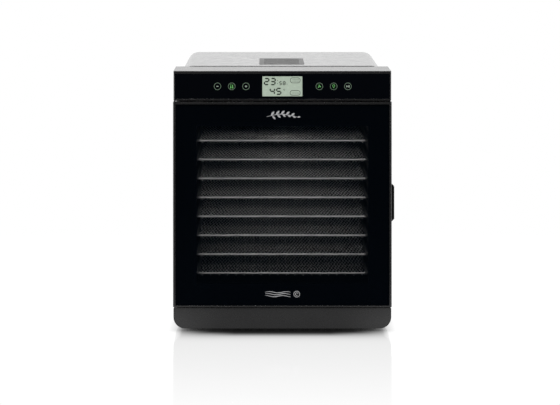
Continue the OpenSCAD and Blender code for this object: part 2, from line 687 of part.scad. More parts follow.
// from the power board to the side gap, up beside the cavity, forward into the head
module wiring_harness() color([0.12, 0.12, 0.12]) {
  r = 2.6;
  gap_x = housing_w / 2 - 8;
  low_y = 104;
  low_z = 24;
  turn_y = head_y0 + 34;
  high_z = head_z0 + 13;
  cyl_x(low_y, low_z, 57, gap_x, r);
  cyl_z(gap_x, low_y, low_z, high_z, r);
  cyl_y(gap_x, high_z, turn_y, low_y, r);
  cyl_x(turn_y, high_z, connector_x, gap_x, r);
  cyl_y(connector_x, high_z, head_y0 + 23.2, turn_y, r);
  bends = [[gap_x, low_y, low_z], [gap_x, low_y, high_z],
    [gap_x, turn_y, high_z], [connector_x, turn_y, high_z]];
  for (p = bends) translate(p) sphere(r = r);
}
module cord_turn(y) {
  for (side = sides) cyl_z(side * loop_x, y, loop_z0 + loop_r, loop_z1 - loop_r, cord_r);
  for (z = [loop_z0, loop_z1]) cyl_x(y, z, -loop_x + loop_r, loop_x - loop_r, cord_r);
  translate([0, y, 0]) rotate([90, 0, 0])
    corner_bends(loop_x, loop_z0, loop_z1, loop_r, cord_r);
}
module power_cord() color([0.04, 0.04, 0.04]) {
  inner_y = cord_y - 2 * cord_r - 0.6;
  cord_turn(cord_y);
  cord_turn(inner_y);
  // crossing from one turn to the next
  cyl_y(-loop_x, fan_z, inner_y, cord_y, cord_r - 0.05);
  // lead from the grommet up to the middle of the loop's corner
  lead_dx = grommet_x - (loop_x - loop_r + loop_r * cos(45));
  lead_dz = loop_z0 + loop_r - loop_r * sin(45) - grommet_z;
  cyl_y(grommet_x, grommet_z, y_rear - 8, cord_y, cord_r);
  translate([grommet_x, cord_y, grommet_z]) {
    sphere(r = cord_r);
    rotate([0, -atan2(lead_dx, lead_dz), 0]) cylinder(r = cord_r, h = norm([lead_dx, lead_dz]));
  }
  // tail down to the parked plug
  cyl_z(plug_x, cord_y, loop_z0 - 24, loop_z0, cord_r - 0.05);
}
module cord_grommet() color([0.05, 0.05, 0.05]) difference() {
  union() {
    // neck in the panel, a flange on each side of it, and the sleeve behind
    cyl_y(grommet_x, grommet_z, y_rear - 3, y_rear + 4, 5.9);
    cyl_y(grommet_x, grommet_z, y_rear + 1, y_rear + 5, 8.5);
    cyl_y(grommet_x, grommet_z, y_rear - 3.5, y_rear, 8);
    cyl_y(grommet_x, grommet_z, y_rear + 4.9, y_rear + 16, 5.4);
  }
  cyl_y(grommet_x, grommet_z, y_rear - 5, y_rear + 20, cord_r + 0.05);
  // notches along the sleeve
  for (i = [0:3], a = [0, 90])
    translate([grommet_x, y_rear + 6.6 + i * 2.4, grommet_z]) rotate([0, a, 0])
      box_mid(0, 7, 0, 1, 4.2, 6);
}
// hangs pins down; its local Z runs down from the loop's bottom run
module mains_plug() color([0.05, 0.05, 0.05])
  translate([plug_x, cord_y, loop_z0]) rotate([180, 0, 0]) {
    difference() {
      union() {
        translate([0, 0, 22]) cylinder(r1 = 5.5, r2 = 9, h = 14);
        translate([0, 0, 36]) cylinder(r = 13, h = 6);
        translate([0, 0, 42]) cylinder(r = 16, h = 8);
      }
      translate([0, 0, -1]) cylinder(r = cord_r, h = 25.1);
      for (side = sides) box_mid(side * 17, 2.2, -3, 3, 41, 53);
    }
    for (side = sides) translate([side * 9.5, 0, 49.9]) cylinder(r = 2.4, h = 19);
  }

// ---- hinge, catch --------------------------------------------------------------
// places children at the upper and lower hinge, with local +Z away from the door
module at_hinges() {
  for (up = [1, -1])
    translate([hinge_x, hinge_y, up > 0 ? head_z0 : base_top]) scale([1, 1, up]) children();
}
module hinge_pins() color([0.75, 0.75, 0.77]) at_hinges() union() {
  translate([0, 0, -bush_l + 0.5]) cylinder(r = pin_r, h = bush_l + wall + 1.5);
  translate([0, 0, wall + 1.5]) cylinder(r = 3.15, h = 1.6);
}
module hinge_brackets() color([0.6, 0.6, 0.62]) at_hinges() difference() {
  translate([-3.1, -3.8, wall + 0.02]) cube([42, 7.8, 1.46]);
  cylinder(r = pin_r + 0.02, h = 6);
  for (dx = hinge_screw_dx) translate([dx, 0, 0]) cylinder(r = 1.6, h = 6);
}
module catch_plates() color([0.7, 0.7, 0.72]) for (z = catch_z) difference() {
  box_mid(catch_x, 3.5, y_frame, y_frame + 1.2, z - 10, z + 10);
  cyl_y(catch_x, z, y_frame - 1, y_frame + 2, 1.5);
}

// ---- door ------------------------------------------------------------------
door_rim = 18;                  // from the door's top and bottom to its opening
glass_y0 = y_front + 0.5;
glass_y1 = glass_y0 + glass_t;  // back of the printed border
window_z = (door_z0 + door_z1) / 2 - 1;
grip_z = (door_z0 + door_z1) / 2 + 2.5;
grip_z0 = grip_z - grip_h / 2;
grip_z1 = grip_z + grip_h / 2;

// door opening's outline, grown outwards
module opening_rect(grow, r) {
  rounded_rect(-opening_x - grow, opening_x + grow,
    door_z0 + door_rim - grow, door_z1 - door_rim + grow, r);
}
module opening_ring(outer, outer_r, inner, inner_r) difference() {
  opening_rect(outer, outer_r);
  opening_rect(inner, inner_r);
}
module glass_rect(gap = 0) {
  rounded_rect(-door_w / 2 + lip - gap, door_w / 2 - lip + gap,
    door_z0 + lip - 1.6 - gap, door_z1 - lip + gap, 1 + gap);
}
module door_frame() color([0.09, 0.09, 0.095]) difference() {
  extrude_z(door_z0, door_z1)
    rounded_rect(-door_w / 2, door_w / 2, y_front, y_door_in, [2.2, 2.2, 1, 3.5]);
  // glass pocket
  extrude_y(y_front - 1, glass_y1) glass_rect(0.1);
  // opening behind the glass
  extrude_y(y_front, y_door_in + 1) opening_rect(0, 4);
  // groove that holds the seal's foot
  extrude_y(y_door_in - 2, y_door_in + 1) opening_ring(7.1, 4, 3.9, 2);
  // hinge bush seats
  for (z = [door_z0 - 1, door_z1 - bush_l])
    cyl_z(hinge_x, hinge_y, z, z + bush_l + 1, bush_outer_r);
  // magnet pockets
  for (z = catch_z) box_mid(catch_x, 3.6, y_door_in - 5.1, y_door_in + 1, z - 8.1, z + 8.1);
  // finger-grip socket in the right edge
  box(door_w / 2 - 3, door_w / 2 + 1, y_door_in - 12, y_door_in - 3, grip_z0 + 6, grip_z1 - 6);
}
module door_glass() color([0.7, 0.75, 0.75, 0.3])
  extrude_y(glass_y0, glass_y1 - 0.3) glass_rect();
module glass_border() color([0.01, 0.01, 0.012]) extrude_y(glass_y1 - 0.3, glass_y1) difference() {
  glass_rect();
  rounded_rect(-window_w / 2, window_w / 2,
    window_z - window_h / 2, window_z + window_h / 2, 1);
}
module door_seal() color([0.12, 0.12, 0.12]) union() {
  extrude_y(y_door_in, y_door_in + seal_t - 0.1) opening_ring(9, 5, 2, 4);
  // foot in the door's groove
  extrude_y(y_door_in - 1.9, y_door_in + 0.1) opening_ring(7, 4, 4, 2);
}
module door_handle() color([0.02, 0.02, 0.02]) difference() {
  edge_x = door_w / 2;
  union() {
    // grip, seen from the front as a bar with eased ends
    extrude_y(y_door_in - 15, y_door_in) translate([edge_x, 0])
      polygon([[0, grip_z0], [grip_out, grip_z0 + 4], [grip_out, grip_z1 - 4], [0, grip_z1]]);
    // tongue in the frame's socket
    box(edge_x - 2.9, edge_x + 0.1, y_door_in - 11.9, y_door_in - 3.1,
      grip_z0 + 6.1, grip_z1 - 6.1);
  }
  // finger hollow behind the grip
  extrude_z(grip_z0 + 7, grip_z1 - 7) polygon([
    [edge_x + 1.2, y_door_in + 1], [edge_x + grip_out + 1, y_door_in + 1],
    [edge_x + grip_out + 1, y_door_in - 9], [edge_x + grip_out - 0.8, y_door_in - 9]]);
}
module hinge_bushes() color([0.85, 0.85, 0.8])
  for (z = [door_z0, door_z1 - bush_l]) difference() {
    cyl_z(hinge_x, hinge_y, z, z + bush_l, bush_outer_r);
    cyl_z(hinge_x, hinge_y, z - 1, z + bush_l + 1, bush_r);
  }
module door_magnets() color([0.2, 0.2, 0.21]) for (z = catch_z)
  box_mid(catch_x, 3.5, y_door_in - 5, y_door_in + seal_t - 0.3, z - 8, z + 8);

// ---- trays -----------------------------------------------------------------
rail_r = rail_d / 2;
wire_r = wire_d / 2;
rail_x = tray_w / 2 - rail_r;   // edge wire's centreline
rail_y0 = tray_y0 + rail_r;
rail_y1 = tray_y1 - rail_r;
rail_bend_r = 3.5;
wire_z = -rail_r - wire_r + 0.4;   // support wires, from the edge wire's height
half_wires = floor((tray_w / 2 - 7) / wire_pitch + 0.5);   // wires on each side
cross_wire_x = (half_wires - 0.5) * wire_pitch + 2;   // cross wires' half length

module tray_frame(i) color([0.75, 0.75, 0.76]) translate([0, 0, tray_z[i - 1]]) union() {
  for (side = sides)
    cyl_y(side * rail_x, 0, rail_y0 + rail_bend_r, rail_y1 - rail_bend_r, rail_r);
  for (y = [rail_y0, rail_y1])
    cyl_x(y, 0, -rail_x + rail_bend_r, rail_x - rail_bend_r, rail_r);
  corner_bends(rail_x, rail_y0, rail_y1, rail_bend_r, rail_r);
  // support wires, welded under the front and back rails
  for (k = [-half_wires:half_wires - 1])
    cyl_y((k + 0.5) * wire_pitch, wire_z, rail_y0 - 0.9, rail_y1 + 0.9, wire_r);
  // two cross wires under them
  for (part = [0.33, 0.66])
    cyl_x(rail_y0 + tray_d * part, wire_z - wire_d + 0.3, -cross_wire_x, cross_wire_x, wire_r);
}
// mesh drawn as a thin sheet just above the support wires
module tray_mesh(i) color([0.6, 0.6, 0.61]) translate([0, 0, tray_z[i - 1]])
  extrude_z(wire_z + wire_r + 0.05, wire_z + wire_r + 0.25)
    rounded_rect(-rail_x + 1.9, rail_x - 1.9, rail_y0 + 1.9, rail_y1 - 1.9, 4.5);

// ---- every node ----------------------------------------------------------------
outer_housing();
top_vent();
control_head();
control_fascia();
lcd_module();
control_board();
touch_pads();
front_frame();
base_fascia();
bottom_panel();
rubber_feet();
rear_panel();
motor_cover();
left_liner();
right_liner();
cavity_ceiling();
cavity_floor();
fan_grille();
fan_shroud();
heating_element();
fan_motor();
thermal_cutoff();
temp_probe();
lamp_lens();
lamp_board();
power_board();
wiring_harness();
power_cord();
cord_grommet();
mains_plug();
hinge_pins();
hinge_brackets();
catch_plates();
cabinet_screws();
rear_screws();
door_frame();
door_glass();
glass_border();
door_seal();
door_handle();
hinge_bushes();
door_magnets();
fan_wheel();
motor_shaft();
tray_frame(1);  // tray_frame_1
tray_frame(2);  // tray_frame_2
tray_frame(3);  // tray_frame_3
tray_frame(4);  // tray_frame_4
tray_frame(5);  // tray_frame_5
tray_frame(6);  // tray_frame_6
tray_frame(7);  // tray_frame_7
tray_frame(8);  // tray_frame_8
tray_mesh(1);  // tray_mesh_1
tray_mesh(2);  // tray_mesh_2
tray_mesh(3);  // tray_mesh_3
tray_mesh(4);  // tray_mesh_4
tray_mesh(5);  // tray_mesh_5
tray_mesh(6);  // tray_mesh_6
tray_mesh(7);  // tray_mesh_7
tray_mesh(8);  // tray_mesh_8
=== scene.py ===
"""Looks for the cabinet food dryer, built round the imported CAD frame. Metres, +Z up, the door faces -Y."""
import json
import math
import random

import bpy
import bmesh
from mathutils import Matrix, Vector

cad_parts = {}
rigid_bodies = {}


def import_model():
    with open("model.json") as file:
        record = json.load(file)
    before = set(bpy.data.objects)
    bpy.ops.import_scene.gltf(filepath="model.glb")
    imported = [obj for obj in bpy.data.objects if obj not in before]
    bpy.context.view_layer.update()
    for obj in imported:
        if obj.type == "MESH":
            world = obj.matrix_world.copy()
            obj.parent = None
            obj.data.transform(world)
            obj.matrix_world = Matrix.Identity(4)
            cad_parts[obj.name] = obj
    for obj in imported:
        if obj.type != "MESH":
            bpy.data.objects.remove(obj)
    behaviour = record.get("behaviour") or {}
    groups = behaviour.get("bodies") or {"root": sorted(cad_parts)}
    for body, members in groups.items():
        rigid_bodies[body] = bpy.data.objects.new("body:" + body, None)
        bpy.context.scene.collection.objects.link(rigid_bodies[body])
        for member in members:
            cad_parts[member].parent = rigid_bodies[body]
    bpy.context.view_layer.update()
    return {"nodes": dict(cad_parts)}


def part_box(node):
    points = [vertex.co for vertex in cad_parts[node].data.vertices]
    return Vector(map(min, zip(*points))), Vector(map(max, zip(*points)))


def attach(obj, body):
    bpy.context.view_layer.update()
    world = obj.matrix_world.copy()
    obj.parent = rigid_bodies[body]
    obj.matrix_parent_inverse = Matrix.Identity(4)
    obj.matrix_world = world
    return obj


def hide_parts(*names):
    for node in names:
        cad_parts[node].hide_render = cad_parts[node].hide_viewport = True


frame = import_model()
N = frame["nodes"]
MM = 0.001

# ------------------------------------------------------------------ materials


def new_mat(name):
    m = bpy.data.materials.new(name)
    m.use_nodes = True
    nt = m.node_tree
    return m, nt, nt.nodes["Principled BSDF"]


def coords(nt, stretch=(1, 1, 1)):
    tc = nt.nodes.new("ShaderNodeTexCoord")
    mp = nt.nodes.new("ShaderNodeMapping")
    mp.inputs["Scale"].default_value = stretch
    nt.links.new(tc.outputs["Object"], mp.inputs["Vector"])
    return mp.outputs["Vector"]


def noise(nt, vec, scale, detail=3.0, rough=0.5):
    n = nt.nodes.new("ShaderNodeTexNoise")
    n.inputs["Scale"].default_value = scale
    n.inputs["Detail"].default_value = detail
    n.inputs["Roughness"].default_value = rough
    nt.links.new(vec, n.inputs["Vector"])
    return n.outputs["Fac"]


def remap(nt, value, lo, hi, a=0.3, b=0.7):
    r = nt.nodes.new("ShaderNodeMapRange")
    r.inputs["From Min"].default_value = a
    r.inputs["From Max"].default_value = b
    r.inputs["To Min"].default_value = lo
    r.inputs["To Max"].default_value = hi
    nt.links.new(value, r.inputs["Value"])
    return r.outputs["Result"]


def mix_colour(nt, fac, a, b):
    m = nt.nodes.new("ShaderNodeMix")
    m.data_type = "RGBA"
    m.inputs[6].default_value = (*a, 1)
    m.inputs[7].default_value = (*b, 1)
    nt.links.new(fac, m.inputs[0])
    return m.outputs[2]


def bump(nt, bsdf, height, dist, strength=1.0, prev=None):
    b = nt.nodes.new("ShaderNodeBump")
    b.inputs["Strength"].default_value = strength
    b.inputs["Distance"].default_value = dist
    nt.links.new(height, b.inputs["Height"])
    if prev is not None:
        nt.links.new(prev, b.inputs["Normal"])
    nt.links.new(b.outputs["Normal"], bsdf.inputs["Normal"])
    return b.outputs["Normal"]


def surface(name, base, base2=None, rough=(0.3, 0.4), metal=0.0, grain=(900, 0.00003), cloud=14.0,
            stretch=(1, 1, 1), coat=0.0, spec=0.5, sheen=0.0, emit=None, emit_strength=0.0):
    """A procedural finish: two tones in soft clouds, a roughness that wanders, and a fine grain."""
    m, nt, p = new_mat(name)
    vec = coords(nt, stretch)
    c = noise(nt, vec, cloud, 4.0)
    base2 = base2 or tuple(min(1.0, x * 1.25 + 0.001) for x in base)
    nt.links.new(mix_colour(nt, remap(nt, c, 0, 1), base, base2), p.inputs["Base Color"])
    r = noise(nt, vec, cloud * 6.5, 5.0, 0.6)
    nt.links.new(remap(nt, r, rough[0], rough[1]), p.inputs["Roughness"])
    p.inputs["Metallic"].default_value = metal
    p.inputs["Specular IOR Level"].default_value = spec
    if coat:
        p.inputs["Coat Weight"].default_value = coat
        p.inputs["Coat Roughness"].default_value = 0.05
    if sheen:
        p.inputs["Sheen Weight"].default_value = sheen
    if grain:
        bump(nt, p, noise(nt, vec, grain[0], 2.0), grain[1])
    if emit:
        p.inputs["Emission Color"].default_value = (*emit, 1)
        p.inputs["Emission Strength"].default_value = emit_strength
    return m


M = {}
M["paint"] = surface("powder_coat", (0.016, 0.016, 0.017), (0.021, 0.021, 0.022), (0.20, 0.25), grain=(1500, 0.000002), spec=0.62)
M["front"] = surface("satin_moulding", (0.010, 0.010, 0.0105), (0.0125, 0.0125, 0.013), (0.25, 0.30), grain=None, spec=0.6)
M["gloss"] = surface("gloss_panel", (0.0005, 0.0010, 0.0022), (0.0007, 0.0012, 0.0026), (0.03, 0.06), grain=None, spec=0.5)
M["ink"] = surface("baked_ink", (0.0006, 0.0012, 0.0026), (0.0008, 0.0014, 0.0030), (0.55, 0.65), grain=None, spec=0.02)
M["liner"] = surface("dark_liner", (0.045, 0.045, 0.047), (0.060, 0.060, 0.062), (0.34, 0.5), metal=0.55, cloud=22.0, stretch=(1, 1, 0.12), grain=(1400, 0.00002))
M["liner_side"] = surface("liner_side", (0.20, 0.20, 0.205), (0.25, 0.25, 0.255), (0.30, 0.42), metal=0.5, cloud=22.0, stretch=(1, 0.2, 1), grain=None)
M["wire"] = surface("drawn_wire", (0.72, 0.72, 0.72), (0.82, 0.82, 0.81), (0.42, 0.52), metal=1.0, cloud=60.0, grain=(3000, 0.00001))


def woven_wire():
    """Drawn wire whose colour carries a painted highlight on the crowns and painted shade in the openings, laid in only
    where the cloth is seen nearly edge-on.
    """
    m, nt, p = new_mat("woven_wire")
    vec = coords(nt)
    tone = mix_colour(nt, remap(nt, noise(nt, vec, 45.0, 4.0), 0, 1), (0.34, 0.34, 0.34), (0.44, 0.44, 0.43))
    nt.links.new(remap(nt, noise(nt, vec, 290.0, 5.0, 0.6), 0.28, 0.42), p.inputs["Roughness"])
    p.inputs["Metallic"].default_value = 1.0

    def math_node(op, a, b=None, clamp=False):
        n = nt.nodes.new("ShaderNodeMath")
        n.operation = op
        n.use_clamp = clamp
        for k, v in enumerate((a, b)):
            if isinstance(v, (int, float)):
                n.inputs[k].default_value = v
            elif v is not None:
                nt.links.new(v, n.inputs[k])
        return n.outputs[0]

    sep = nt.nodes.new("ShaderNodeSeparateXYZ")
    nt.links.new(vec, sep.inputs[0])
    wander = math_node("MULTIPLY", remap(nt, noise(nt, vec, 26.0, 2.0), -1.0, 1.0), 1.1)
    cx = math_node("COSINE", math_node("ADD", math_node("MULTIPLY", sep.outputs[0], 2 * math.pi / 0.0052), wander))
    cy = math_node("COSINE", math_node("ADD", math_node("MULTIPLY", sep.outputs[1], 2 * math.pi / 0.036), wander))
    geo = nt.nodes.new("ShaderNodeNewGeometry")
    inc = nt.nodes.new("ShaderNodeSeparateXYZ")
    nt.links.new(geo.outputs["Incoming"], inc.inputs[0])
    # painted highlight and shade: crossed cosines plus a noisy jitter lighten the crowns and darken the openings in the
    # base colour, only at grazing view
    graze = math_node("SUBTRACT", 1.0, math_node("MULTIPLY", math_node("SUBTRACT", math_node("ABSOLUTE", inc.outputs[2]), 0.16), 8.0, True), True)
    shade_jitter = remap(nt, noise(nt, coords(nt, (380, 56, 1)), 1.0, 1.0), -1.0, 1.0)
    beat = math_node("MULTIPLY", math_node("ADD", math_node("MULTIPLY", math_node("MULTIPLY", cx, cy), 3.4), math_node("MULTIPLY", shade_jitter, 1.1)), graze)
    gain = math_node("MAXIMUM", math_node("ADD", 1.0, beat), 0.06)
    sc = nt.nodes.new("ShaderNodeVectorMath")
    sc.operation = "SCALE"
    nt.links.new(tone, sc.inputs[0])
    nt.links.new(gain, sc.inputs["Scale"])
    nt.links.new(sc.outputs[0], p.inputs["Base Color"])
    return m


M["weave"] = woven_wire()
M["zinc"] = surface("zinc_plate", (0.52, 0.53, 0.55), (0.66, 0.66, 0.66), (0.22, 0.42), metal=1.0, cloud=70.0, grain=(1100, 0.00002))
M["shroud"] = surface("dull_plate", (0.10, 0.10, 0.105), (0.14, 0.14, 0.145), (0.42, 0.55), metal=0.7, cloud=60.0, grain=(1100, 0.00002))
M["alu"] = surface("pressed_aluminium", (0.72, 0.73, 0.75), (0.82, 0.82, 0.83), (0.16, 0.30), metal=1.0, cloud=30.0, stretch=(1, 1, 4))
M["heater"] = surface("heat_tinted_sheath", (0.20, 0.14, 0.10), (0.33, 0.27, 0.24), (0.3, 0.5), metal=0.9, cloud=35.0)
M["iron"] = surface("lacquered_iron", (0.10, 0.085, 0.075), (0.17, 0.15, 0.13), (0.35, 0.55), metal=0.6, cloud=50.0, stretch=(1, 60, 1))
M["rubber"] = surface("foot_rubber", (0.012, 0.012, 0.012), (0.02, 0.02, 0.02), (0.65, 0.8), grain=(1200, 0.00004), spec=0.35)
M["seal"] = surface("silicone_seal", (0.018, 0.018, 0.018), (0.028, 0.028, 0.028), (0.5, 0.62), grain=(900, 0.00003), spec=0.4)
M["cord"] = surface("cord_jacket", (0.010, 0.010, 0.010), (0.016, 0.016, 0.016), (0.38, 0.5), grain=(700, 0.00003), spec=0.45)
M["vent"] = surface("vent_moulding", (0.008, 0.008, 0.008), (0.011, 0.011, 0.011), (0.40, 0.48), grain=(1800, 0.00001), spec=0.42)
M["black"] = surface("black_plastic", (0.010, 0.010, 0.010), (0.015, 0.015, 0.015), (0.30, 0.4), grain=(1800, 0.00002))
M["grip"] = surface("grip_plastic", (0.004, 0.004, 0.004), (0.006, 0.006, 0.006), (0.40, 0.50), grain=(1800, 0.00001), spec=0.10)
M["screw"] = surface("black_oxide", (0.03, 0.03, 0.032), (0.05, 0.05, 0.052), (0.3, 0.45), metal=0.9, cloud=120.0)
M["board"] = surface("solder_mask", (0.006, 0.085, 0.030), (0.010, 0.115, 0.042), (0.3, 0.45), cloud=120.0, grain=(1400, 0.00003))
M["white"] = surface("white_board", (0.62, 0.62, 0.58), (0.70, 0.70, 0.66), (0.35, 0.5), cloud=90.0)
M["bush"] = surface("acetal", (0.58, 0.58, 0.54), (0.66, 0.66, 0.61), (0.32, 0.42), cloud=80.0)
M["ferrite"] = surface("ferrite", (0.022, 0.022, 0.024), (0.035, 0.035, 0.037), (0.5, 0.7), cloud=160.0, grain=(1500, 0.00006))
M["silicone"] = surface("conductive_rubber", (0.03, 0.03, 0.03), (0.045, 0.045, 0.045), (0.5, 0.7), cloud=120.0)
M["lens"] = surface("frosted_lens", (0.72, 0.72, 0.68), (0.80, 0.80, 0.76), (0.25, 0.4), cloud=90.0, emit=(1.0, 0.96, 0.88), emit_strength=0.02)
M["ceramic"] = surface("cutoff_body", (0.42, 0.38, 0.28), (0.52, 0.48, 0.38), (0.35, 0.5), cloud=160.0)
# the silver print's emission is a painted sheen, standing in for light that the ink catches
M["silver_ink"] = surface("silver_ink", (0.30, 0.30, 0.31), (0.36, 0.36, 0.37), (0.35, 0.5), metal=0.2, cloud=200.0, grain=None,
                          emit=(0.85, 0.86, 0.88), emit_strength=0.16)
M["lcd"] = surface("display_cell", (0.33, 0.40, 0.33), (0.37, 0.44, 0.36), (0.22, 0.3), cloud=30.0, grain=None,
                   emit=(0.80, 0.93, 0.78), emit_strength=0.135)
M["lcd_ink"] = surface("display_digit", (0.010, 0.016, 0.010), (0.016, 0.022, 0.016), (0.4, 0.5), cloud=90.0, grain=None, spec=0.1)
M["lcd_line"] = surface("display_outline", (0.05, 0.065, 0.05), (0.06, 0.075, 0.06), (0.4, 0.5), cloud=90.0, grain=None, spec=0.1)
M["ring"] = surface("key_ring_glow", (0.05, 0.07, 0.05), (0.07, 0.09, 0.07), (0.4, 0.5), cloud=200.0, grain=None,
                    emit=(0.30, 0.46, 0.30), emit_strength=0.30)
M["green"] = surface("key_green_glow", (0.03, 0.12, 0.03), (0.04, 0.14, 0.04), (0.4, 0.5), cloud=200.0, grain=None,
                     emit=(0.20, 0.62, 0.18), emit_strength=0.50)
M["pale"] = surface("key_pale_glow", (0.2, 0.25, 0.2), (0.24, 0.3, 0.24), (0.4, 0.5), cloud=200.0, grain=None,
                    emit=(0.78, 0.92, 0.78), emit_strength=0.20)


def glass_pane():
    """Clear pane with a grey tint: mostly see-through, with a sharp reflection."""
    m, nt, p = new_mat("tinted_pane")
    vec = coords(nt)
    p.inputs["Base Color"].default_value = (0.0008, 0.0022, 0.0042, 1)
    nt.links.new(remap(nt, noise(nt, vec, 9.0, 3.0), 0.010, 0.028), p.inputs["Roughness"])
    p.inputs["IOR"].default_value = 1.5
    p.inputs["Specular IOR Level"].default_value = 0.25
    p.inputs["Alpha"].default_value = 0.30
    return m


M["pane"] = glass_pane()

NODE_MAT = {
    "outer_housing": "paint", "top_vent": "vent", "control_head": "front", "control_fascia": "gloss",
    "lcd_module": "lcd", "control_board": "board", "touch_pads": "silicone", "front_frame": "front",
    "base_fascia": "front", "bottom_panel": "paint", "rubber_feet": "rubber", "rear_panel": "paint",
    "motor_cover": "black", "left_liner": "liner_side", "right_liner": "liner_side", "cavity_ceiling": "liner",
    "cavity_floor": "liner", "fan_grille": "liner", "fan_shroud": "shroud", "heating_element": "heater",
    "fan_motor": "iron", "thermal_cutoff": "ceramic", "temp_probe": "zinc", "lamp_lens": "lens",
    "lamp_board": "white", "power_board": "board", "wiring_harness": "cord", "power_cord": "cord",
    "cord_grommet": "cord", "mains_plug": "cord", "hinge_pins": "zinc", "hinge_brackets": "zinc",
    "catch_plates": "zinc", "cabinet_screws": "screw", "rear_screws": "screw", "door_frame": "front",
    "door_glass": "pane", "glass_border": "ink", "door_seal": "seal", "door_handle": "grip",
    "hinge_bushes": "bush", "door_magnets": "ferrite", "fan_wheel": "alu", "motor_shaft": "zinc",
}
for i in range(1, 9):
    NODE_MAT[f"tray_frame_{i}"] = "wire"
    NODE_MAT[f"tray_mesh_{i}"] = "weave"
for n, o in N.items():
    m = M[NODE_MAT[n]]
    for s in o.material_slots:
        s.material = m
    if not o.material_slots:
        o.data.materials.append(m)

# edges of the visible mouldings are eased, so that they catch the light
for n, w in (("outer_housing", 0.42), ("control_head", 0.9), ("front_frame", 0.5), ("base_fascia", 0.9), ("door_frame", 0.6),
             ("control_fascia", 0.3), ("door_handle", 0.25), ("rear_panel", 0.15), ("bottom_panel", 0.2), ("motor_cover", 0.5),
             ("top_vent", 0.2), ("door_glass", 0.35)):
    o = N[n]
    wd = o.modifiers.new("weld", "WELD")
    wd.merge_threshold = 0.000002
    bv = o.modifiers.new("bevel", "BEVEL")
    bv.width = w * MM
    bv.segments = 2
    bv.limit_method = "ANGLE"
    bv.angle_limit = math.radians(50)
    bv.use_clamp_overlap = True
    bv.harden_normals = False
    bv.miter_outer = "MITER_ARC"

# ------------------------------------------------------------------ mesh helpers


def obj_from(name, verts, faces, mat, body, smooth=False):
    me = bpy.data.meshes.new(name)
    me.from_pydata(verts, [], faces)
    me.validate()
    me.update()
    o = bpy.data.objects.new(name, me)
    bpy.context.scene.collection.objects.link(o)
    me.materials.append(mat)
    if smooth:
        for p in me.polygons:
            p.use_smooth = True
    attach(o, body)
    return o


class Plates:
    """Thin raised prints in the front's XZ plane. y0 is the back of the print and y1 its front."""

    def __init__(self, y0, y1):
        self.y0, self.y1, self.v, self.f = y0, y1, [], []

    def poly(self, pts):
        """pts run anticlockwise seen from the front."""
        b, n = len(self.v), len(pts)
        self.v += [(x, self.y1, z) for x, z in pts] + [(x, self.y0, z) for x, z in pts]
        self.f.append(tuple(b + i for i in range(n)))
        self.f.append(tuple(b + n + i for i in reversed(range(n))))
        for i in range(n):
            j = (i + 1) % n
            self.f.append((b + i, b + n + i, b + n + j, b + j))

    def strip(self, left, right, closed=False):
        """A ribbon between two rows of points, as one closed solid."""
        b, n = len(self.v), len(left)
        for side, y in ((left, self.y1), (right, self.y1), (left, self.y0), (right, self.y0)):
            self.v += [(x, y, z) for x, z in side]
        m = n if closed else n - 1
        for i in range(m):
            j = (i + 1) % n
            self.f.append((b + i, b + j, b + n + j, b + n + i))
            self.f.append((b + 2 * n + j, b + 2 * n + i, b + 3 * n + i, b + 3 * n + j))
            self.f.append((b + i, b + 2 * n + i, b + 2 * n + j, b + j))
            self.f.append((b + n + j, b + 3 * n + j, b + 3 * n + i, b + n + i))
        if not closed:
            self.f.append((b, b + n, b + 3 * n, b + 2 * n))
            self.f.append((b + n - 1, b + 3 * n - 1, b + 4 * n - 1, b + 2 * n - 1))

    def line(self, pts, w, closed=False, taper=None):
        """A stroke of width w along pts; taper(t) scales it along its length."""
        left, right, n = [], [], len(pts)
        for i, (x, z) in enumerate(pts):
            a = pts[(i - 1) % n] if closed or i else pts[0]
            c = pts[(i + 1) % n] if closed or i < n - 1 else pts[-1]
            dx, dz = c[0] - a[0], c[1] - a[1]
            l = math.hypot(dx, dz) or 1
            k = w / 2 * (taper(i / (n - 1)) if taper else 1)
            left.append((x - dz / l * k, z + dx / l * k))
            right.append((x + dz / l * k, z - dx / l * k))
        self.strip(left, right, closed)

    def ring(self, x, z, r, w, n=48, a0=0, a1=360):
        closed = abs(a1 - a0 - 360) < 1e-6
        k = n if closed else n + 1
        pts = [(x + r * math.cos(math.radians(a0 + (a1 - a0) * i / n)), z + r * math.sin(math.radians(a0 + (a1 - a0) * i / n))) for i in range(k)]
        self.line(pts, w, closed)

    def disc(self, x, z, r, n=32):
        self.poly([(x + r * math.cos(2 * math.pi * i / n), z + r * math.sin(2 * math.pi * i / n)) for i in range(n)])

    def make(self, name, mat, body):
        o = obj_from(name, self.v, self.f, mat, body)
        bm = bmesh.new()
        bm.from_mesh(o.data)
        bmesh.ops.recalc_face_normals(bm, faces=bm.faces)
        bm.to_mesh(o.data)
        bm.free()
        return o


# ------------------------------------------------------------------ woven tray meshes


